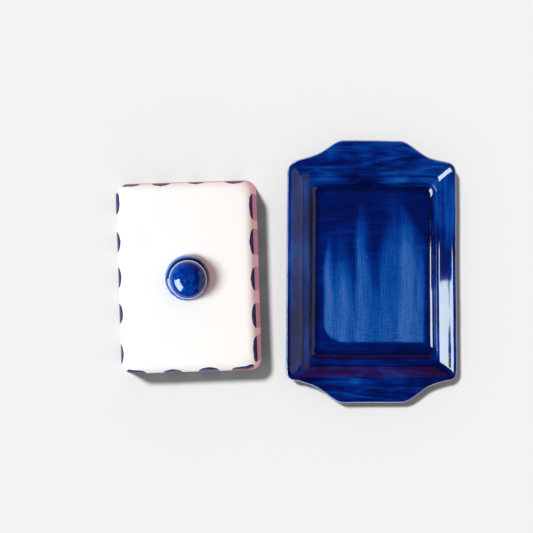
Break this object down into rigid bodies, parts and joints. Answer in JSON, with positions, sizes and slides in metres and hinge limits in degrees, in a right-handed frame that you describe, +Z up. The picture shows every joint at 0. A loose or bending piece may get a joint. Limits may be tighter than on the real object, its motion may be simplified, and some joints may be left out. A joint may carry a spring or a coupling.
{
  "type": "butter dish",
  "caption": "Oblong glazed butter dish with a stepped hollow and two ear handles, and a box-shaped lift-off lid with a round knob.",
  "frame": {"origin": "middle of the dish's foot, on the table", "axes": "+Z up, X across the dish with the lid standing at -X, Y along the dish from ear to ear"},
  "size_m": [0.2453, 0.1896, 0.0654],
  "materials": {
    "cobalt_glaze": "hand-brushed cobalt under a clear gloss glaze",
    "white_glaze": "opaque white gloss glaze with brushed scallops round the shoulder",
    "knob_glaze": "cobalt gloss glaze that breaks pale on the edge"
  },
  "bodies": {
    "dish": {"dish": "cobalt_glaze"},
    "lid": {"lid_shell": "white_glaze", "lid_knob": "knob_glaze"}
  },
  "joints": [
    {"name": "lid_lift", "type": "slide", "parent": "dish", "child": "lid", "axis": [0, 0, 1], "range_m": [0, 0.08]}
  ]
}
